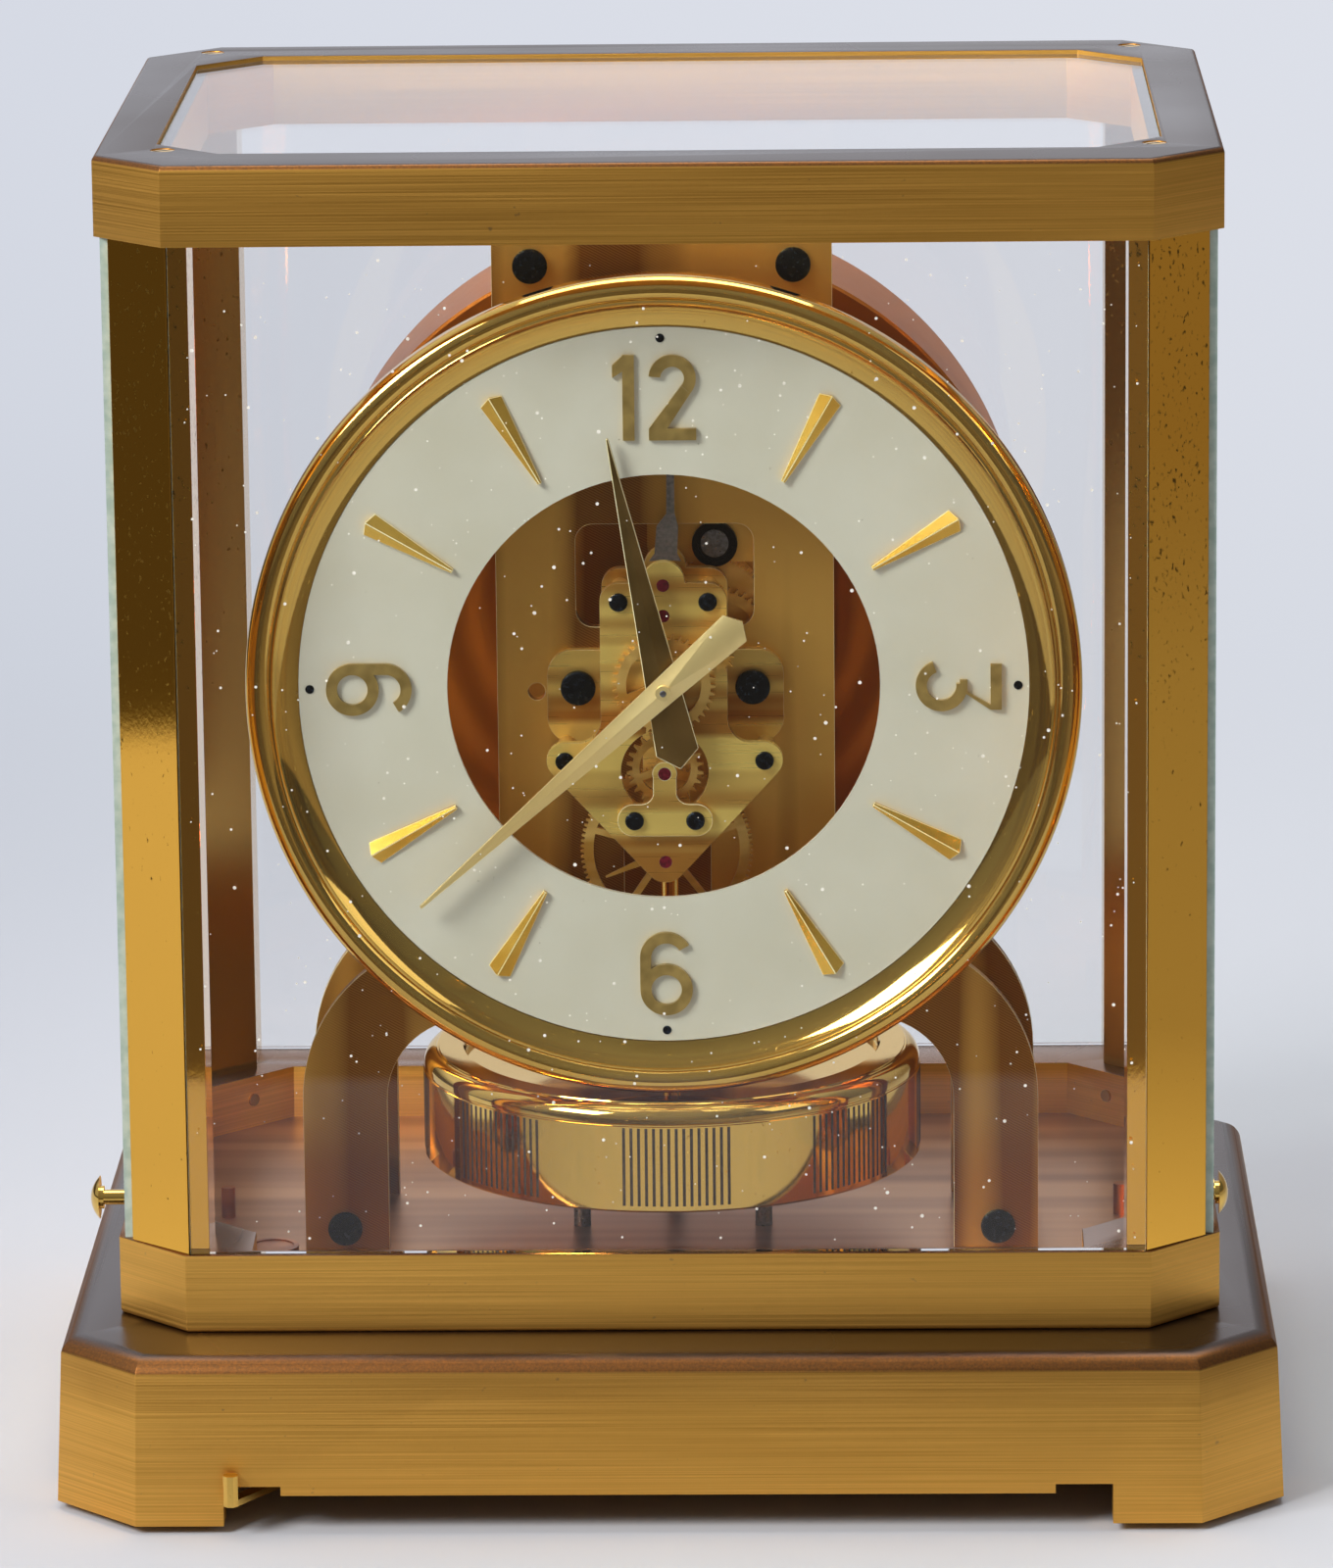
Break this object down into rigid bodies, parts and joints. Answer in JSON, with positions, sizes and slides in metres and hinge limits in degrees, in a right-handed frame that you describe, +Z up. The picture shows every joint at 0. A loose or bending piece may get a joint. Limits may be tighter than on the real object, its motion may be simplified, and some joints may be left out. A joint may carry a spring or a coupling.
{
  "type": "atmospheric clock",
  "caption": "Glazed brass table clock with an open-centre round dial, bellows drum, visible movement and a torsion pendulum on a stepped plinth",
  "frame": {"origin": "the middle of the overall box, at the undersides of the feet", "axes": "+Z up, +X to the right as seen from the front, the dial faces -Y"},
  "size_m": [0.21, 0.1677, 0.2319],
  "materials": {
    "brushed_brass": "brushed satin",
    "polished_brass": "polished",
    "copper_gilt": "gilt, ground",
    "plate_gilt": "gilt, striped",
    "gilt_hands": "gilt",
    "gilt_train": "gilt, satin",
    "dial_paint": "matt cream",
    "blued_steel": "blued",
    "steel": "ground",
    "ruby": "polished stone",
    "clear_glass": "clear"
  },
  "bodies": {
    "case": {"plinth": "brushed_brass", "foot_rear": "polished_brass", "case_screws": "steel", "lever_pivot": "steel", "base_plate": "copper_gilt", "sill": "brushed_brass", "sill_plugs": "polished_brass", "pillars": "polished_brass", "top_frame": "brushed_brass", "top_glass": "clear_glass", "front_glass": "clear_glass", "rear_glass": "clear_glass", "side_glasses": "clear_glass", "top_screws": "polished_brass", "knob_bushes": "polished_brass", "level": "plate_gilt", "floor_posts": "copper_gilt", "front_plate": "plate_gilt", "rear_plate": "plate_gilt", "plate_screws": "blued_steel", "blocks": "plate_gilt", "bezel": "polished_brass", "dial": "dial_paint", "dial_carrier": "polished_brass", "dial_pins": "blued_steel", "numerals": "gilt_hands", "markers": "gilt_hands", "movement_plate": "plate_gilt", "movement_bridge": "plate_gilt", "movement_posts": "plate_gilt", "bridge_screws": "blued_steel", "plate_bolts": "blued_steel", "wheel_cock": "plate_gilt", "jewels": "ruby", "barrel_arbor": "steel", "barrel_bridge": "copper_gilt", "drum": "polished_brass", "drum_cover": "polished_brass", "suspension": "steel"},
    "foot_left": {"foot_left": "polished_brass"},
    "foot_right": {"foot_right": "polished_brass"},
    "lock_lever": {"lock_lever": "polished_brass"},
    "lift_plate": {"lift_plate": "steel"},
    "knob_left": {"knob_left": "copper_gilt"},
    "knob_right": {"knob_right": "copper_gilt"},
    "minute": {"minute_hand": "gilt_hands", "hand_nut": "gilt_hands", "minute_arbor": "gilt_train"},
    "hour": {"hour_hand": "gilt_hands", "hour_wheel": "gilt_train"},
    "motion": {"motion_wheel": "gilt_train"},
    "third": {"third_wheel": "gilt_train"},
    "lower": {"lower_wheel": "gilt_train", "pointer": "gilt_hands"},
    "escape": {"escape_wheel": "gilt_train"},
    "pallets": {"pallet_lever": "steel", "fork_blade": "blued_steel"},
    "barrel": {"barrel": "gilt_train"},
    "bellows": {"bellows": "plate_gilt"},
    "pendulum": {"pendulum": "polished_brass"}
  },
  "joints": [
    {"name": "minute_hand_turn", "type": "hinge", "parent": "case", "child": "minute", "pos_m": [0, -0.04265, 0.139], "axis": [0, 1, 0], "continuous": true},
    {"name": "hour_hand_turn", "type": "hinge", "parent": "case", "child": "hour", "pos_m": [0, -0.04265, 0.139], "axis": [0, 1, 0], "continuous": true},
    {"name": "motion_wheel_turn", "type": "hinge", "parent": "case", "child": "motion", "pos_m": [0.00961, -0.04265, 0.14348], "axis": [0, 1, 0], "continuous": true},
    {"name": "third_wheel_turn", "type": "hinge", "parent": "case", "child": "third", "pos_m": [0, -0.04265, 0.1235], "axis": [0, 1, 0], "continuous": true},
    {"name": "lower_wheel_turn", "type": "hinge", "parent": "case", "child": "lower", "pos_m": [0, -0.04265, 0.1077], "axis": [0, 1, 0], "continuous": true},
    {"name": "escape_wheel_turn", "type": "hinge", "parent": "case", "child": "escape", "pos_m": [0, -0.04265, 0.1507], "axis": [0, 1, 0], "continuous": true},
    {"name": "barrel_turn", "type": "hinge", "parent": "case", "child": "barrel", "pos_m": [0.008, -0.01765, 0.1472], "axis": [0, 1, 0], "continuous": true},
    {"name": "pallet_swing", "type": "hinge", "parent": "case", "child": "pallets", "pos_m": [0, -0.04265, 0.156], "axis": [0, 1, 0], "range_deg": [-2.5, 2.5]},
    {"name": "pendulum_turn", "type": "hinge", "parent": "case", "child": "pendulum", "pos_m": [0, -0.00965, 0.059], "axis": [0, 0, 1], "range_deg": [-270, 270], "stiffness_Nm_per_rad": 0.0000094},
    {"name": "lock_lever_swing", "type": "hinge", "parent": "case", "child": "lock_lever", "pos_m": [-0.058, -0.05865, 0.006], "axis": [0, 0, 1], "range_deg": [0, 9]},
    {"name": "lift_plate_rise", "type": "slide", "parent": "case", "child": "lift_plate", "axis": [0, 0, 1], "range_m": [0, 0.0015]},
    {"name": "knob_left_slide", "type": "slide", "parent": "case", "child": "knob_left", "axis": [1, 0, 0], "range_m": [0, 0.0037]},
    {"name": "knob_right_slide", "type": "slide", "parent": "case", "child": "knob_right", "axis": [1, 0, 0], "range_m": [0, 0.0037]},
    {"name": "foot_left_screw", "type": "slide", "parent": "case", "child": "foot_left", "axis": [0, 0, 1], "range_m": [-0.002, 0.0012]},
    {"name": "foot_right_screw", "type": "slide", "parent": "case", "child": "foot_right", "axis": [0, 0, 1], "range_m": [-0.002, 0.0012]},
    {"name": "bellows_breathing", "type": "slide", "parent": "case", "child": "bellows", "axis": [0, 1, 0], "range_m": [0, 0.0025]}
  ],
  "couplings": [
    {"joint": "hour_hand_turn", "follows": "minute_hand_turn", "ratio": 0.083333},
    {"joint": "motion_wheel_turn", "follows": "minute_hand_turn", "ratio": -0.33333},
    {"joint": "third_wheel_turn", "follows": "minute_hand_turn", "ratio": -1.5},
    {"joint": "lower_wheel_turn", "follows": "minute_hand_turn", "ratio": 0.12371},
    {"joint": "escape_wheel_turn", "follows": "minute_hand_turn", "ratio": -4},
    {"joint": "barrel_turn", "follows": "minute_hand_turn", "ratio": -0.2},
    {"joint": "lock_lever_swing", "follows": "lift_plate_rise", "rad_per_m": 104.72}
  ]
}
